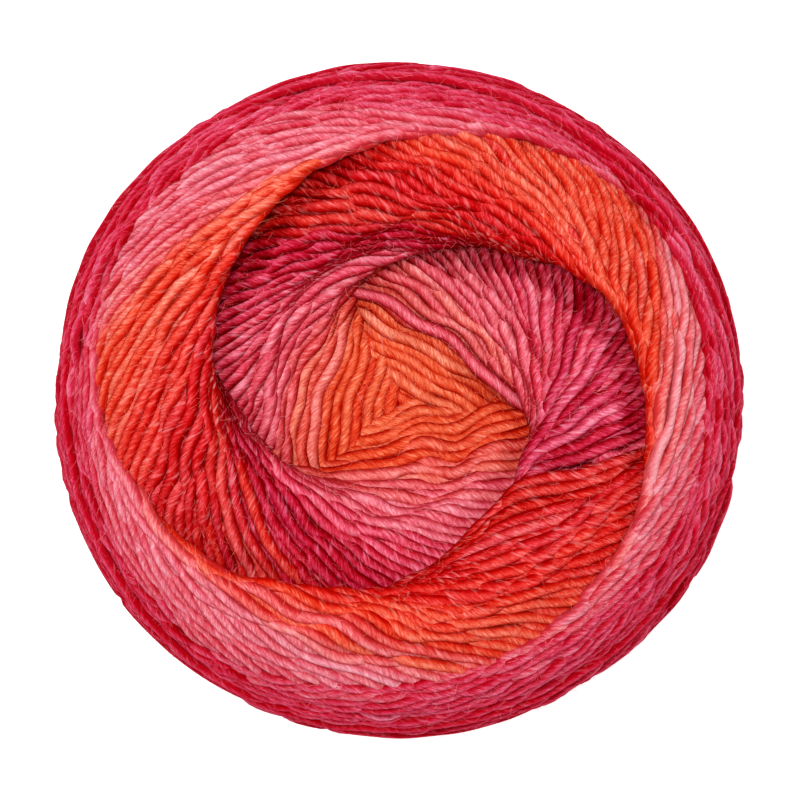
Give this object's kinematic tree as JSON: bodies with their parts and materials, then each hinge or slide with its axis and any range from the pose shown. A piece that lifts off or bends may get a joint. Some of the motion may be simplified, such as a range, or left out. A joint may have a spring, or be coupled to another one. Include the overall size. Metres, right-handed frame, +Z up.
{
  "type": "ball of yarn",
  "caption": "Flat wound ball of single-ply wool yarn in orange, pink and red, with a swirled hollow crown on each end and a round belly.",
  "frame": {"origin": "middle of the ball's outline, on the surface that it rests on", "axes": "+Z up, along the axis that the yarn is wound round; +X across the ball's greatest width"},
  "size_m": [0.115, 0.1118, 0.0634],
  "materials": {
    "wool_yarn": "soft single-ply wool, matt and slightly fuzzy, dyed in long runs of orange, coral, pink, crimson and red"
  },
  "bodies": {
    "root": {"yarn_ball": "wool_yarn"}
  },
  "joints": []
}
